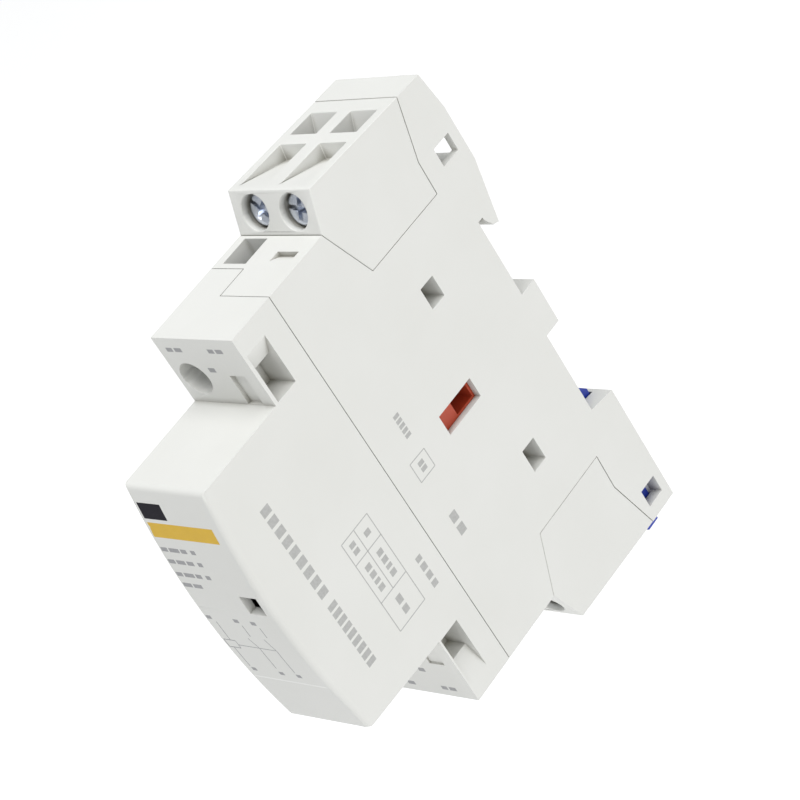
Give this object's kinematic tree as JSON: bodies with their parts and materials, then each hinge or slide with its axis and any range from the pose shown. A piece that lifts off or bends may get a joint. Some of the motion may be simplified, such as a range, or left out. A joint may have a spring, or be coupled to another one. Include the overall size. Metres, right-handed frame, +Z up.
{
  "type": "din rail contactor",
  "caption": "One-module two-pole contactor for a 35 mm DIN rail, stepped white case with curved nose, slanted screw terminals, coil terminals, blue rail clip and red carrier socket.",
  "frame": {"origin": "mid-width, on the plane where the case meets the rail's front face, at the case's half height", "axes": "+Y towards the rail, -Y towards the nose and the user, +Z up, +X to the side that takes an auxiliary block"},
  "size_m": [0.0176, 0.0713, 0.0898],
  "materials": {
    "housing_plastic": "fine moulded texture, light warm grey",
    "clip_plastic": "smooth moulded, deep blue",
    "laminated_iron": "stamped laminations",
    "steel": "turned steel",
    "spring_steel": "drawn wire",
    "cushion_rubber": "matte black rubber",
    "bobbin_plastic": "natural moulded nylon",
    "enamelled_copper": "enamelled winding wire",
    "coil_tape": "polyester tape",
    "copper": "stamped copper strip",
    "silver_alloy": "silver alloy contact",
    "zinc_plate": "bright zinc plate, bluish",
    "carrier_plastic": "moulded, brick red",
    "flag_plastic": "moulded, dark olive"
  },
  "bodies": {
    "housing": {"base_housing": "housing_plastic", "front_cover": "housing_plastic", "upper_terminal_block": "housing_plastic", "lower_terminal_block": "housing_plastic", "fixed_core": "laminated_iron", "core_rivets": "steel", "shading_rings": "copper", "core_cushion": "cushion_rubber", "coil_bobbin": "bobbin_plastic", "coil_winding": "enamelled_copper", "coil_tape": "coil_tape", "coil_leads": "copper", "coil_strip_a1": "copper", "coil_strip_a2": "copper", "return_spring_upper": "spring_steel", "return_spring_lower": "spring_steel", "fixed_contact_upper_left": "copper", "fixed_contact_upper_right": "copper", "fixed_contact_lower_left": "copper", "fixed_contact_lower_right": "copper", "fixed_tips": "silver_alloy"},
    "rail_clip": {"rail_clip": "clip_plastic"},
    "carrier": {"contact_carrier": "carrier_plastic", "armature": "laminated_iron", "armature_pin": "steel", "indicator_flag": "flag_plastic", "contact_spring_left": "spring_steel", "contact_spring_right": "spring_steel"},
    "bridge_left": {"bridge_left": "copper", "bridge_tips_left": "silver_alloy"},
    "bridge_right": {"bridge_right": "copper", "bridge_tips_right": "silver_alloy"},
    "power_screw_upper_left": {"power_screw_upper_left": "zinc_plate"},
    "power_cage_upper_left": {"power_cage_upper_left": "zinc_plate"},
    "power_screw_upper_right": {"power_screw_upper_right": "zinc_plate"},
    "power_cage_upper_right": {"power_cage_upper_right": "zinc_plate"},
    "power_screw_lower_left": {"power_screw_lower_left": "zinc_plate"},
    "power_cage_lower_left": {"power_cage_lower_left": "zinc_plate"},
    "power_screw_lower_right": {"power_screw_lower_right": "zinc_plate"},
    "power_cage_lower_right": {"power_cage_lower_right": "zinc_plate"},
    "coil_screw_a1": {"coil_screw_a1": "zinc_plate"},
    "coil_cage_a1": {"coil_cage_a1": "zinc_plate"},
    "coil_screw_a2": {"coil_screw_a2": "zinc_plate"},
    "coil_cage_a2": {"coil_cage_a2": "zinc_plate"}
  },
  "joints": [
    {"name": "rail_clip_slide", "type": "slide", "parent": "housing", "child": "rail_clip", "axis": [0, 0, -1], "range_m": [0, 0.004], "stiffness_N_per_m": 1000, "springref_m": -0.003},
    {"name": "carrier_slide", "type": "slide", "parent": "housing", "child": "carrier", "axis": [0, -1, 0], "range_m": [0, 0.0035], "stiffness_N_per_m": 500, "springref_m": -0.003, "deforming": ["return_spring_upper", "return_spring_lower"]},
    {"name": "bridge_left_overtravel", "type": "slide", "parent": "carrier", "child": "bridge_left", "axis": [0, 1, 0], "range_m": [0, 0.0008], "stiffness_N_per_m": 800, "springref_m": -0.002, "deforming": ["contact_spring_left"]},
    {"name": "bridge_right_overtravel", "type": "slide", "parent": "carrier", "child": "bridge_right", "axis": [0, 1, 0], "range_m": [0, 0.0008], "stiffness_N_per_m": 800, "springref_m": -0.002, "deforming": ["contact_spring_right"]},
    {"name": "power_screw_upper_left_turn", "type": "hinge", "parent": "housing", "child": "power_screw_upper_left", "pos_m": [-0.0041, -0.0235, 0.0396], "axis": [0, 0.9363, -0.3512], "range_deg": [0, 1170]},
    {"name": "power_cage_upper_left_lift", "type": "slide", "parent": "housing", "child": "power_cage_upper_left", "axis": [0, -0.9363, 0.3512], "range_m": [0, 0.00227]},
    {"name": "power_screw_upper_right_turn", "type": "hinge", "parent": "housing", "child": "power_screw_upper_right", "pos_m": [0.0041, -0.0235, 0.0396], "axis": [0, 0.9363, -0.3512], "range_deg": [0, 1170]},
    {"name": "power_cage_upper_right_lift", "type": "slide", "parent": "housing", "child": "power_cage_upper_right", "axis": [0, -0.9363, 0.3512], "range_m": [0, 0.00227]},
    {"name": "power_screw_lower_left_turn", "type": "hinge", "parent": "housing", "child": "power_screw_lower_left", "pos_m": [-0.0041, -0.0235, -0.0396], "axis": [0, 0.9363, 0.3512], "range_deg": [0, 1170]},
    {"name": "power_cage_lower_left_lift", "type": "slide", "parent": "housing", "child": "power_cage_lower_left", "axis": [0, -0.9363, -0.3512], "range_m": [0, 0.00227]},
    {"name": "power_screw_lower_right_turn", "type": "hinge", "parent": "housing", "child": "power_screw_lower_right", "pos_m": [0.0041, -0.0235, -0.0396], "axis": [0, 0.9363, 0.3512], "range_deg": [0, 1170]},
    {"name": "power_cage_lower_right_lift", "type": "slide", "parent": "housing", "child": "power_cage_lower_right", "axis": [0, -0.9363, -0.3512], "range_m": [0, 0.00227]},
    {"name": "coil_screw_a1_turn", "type": "hinge", "parent": "housing", "child": "coil_screw_a1", "pos_m": [-0.0048, -0.0464, 0.0288], "axis": [0, 1, 0], "range_deg": [0, 1150]},
    {"name": "coil_cage_a1_lift", "type": "slide", "parent": "housing", "child": "coil_cage_a1", "axis": [0, -1, 0], "range_m": [0, 0.00159]},
    {"name": "coil_screw_a2_turn", "type": "hinge", "parent": "housing", "child": "coil_screw_a2", "pos_m": [-0.0048, -0.0464, -0.0288], "axis": [0, 1, 0], "range_deg": [0, 1150]},
    {"name": "coil_cage_a2_lift", "type": "slide", "parent": "housing", "child": "coil_cage_a2", "axis": [0, -1, 0], "range_m": [0, 0.00159]}
  ],
  "couplings": [
    {"joint": "power_screw_upper_left_turn", "follows": "power_cage_upper_left_lift", "rad_per_m": 8976},
    {"joint": "power_screw_upper_right_turn", "follows": "power_cage_upper_right_lift", "rad_per_m": 8976},
    {"joint": "power_screw_lower_left_turn", "follows": "power_cage_lower_left_lift", "rad_per_m": 8976},
    {"joint": "power_screw_lower_right_turn", "follows": "power_cage_lower_right_lift", "rad_per_m": 8976},
    {"joint": "coil_screw_a1_turn", "follows": "coil_cage_a1_lift", "rad_per_m": 12566},
    {"joint": "coil_screw_a2_turn", "follows": "coil_cage_a2_lift", "rad_per_m": 12566}
  ]
}
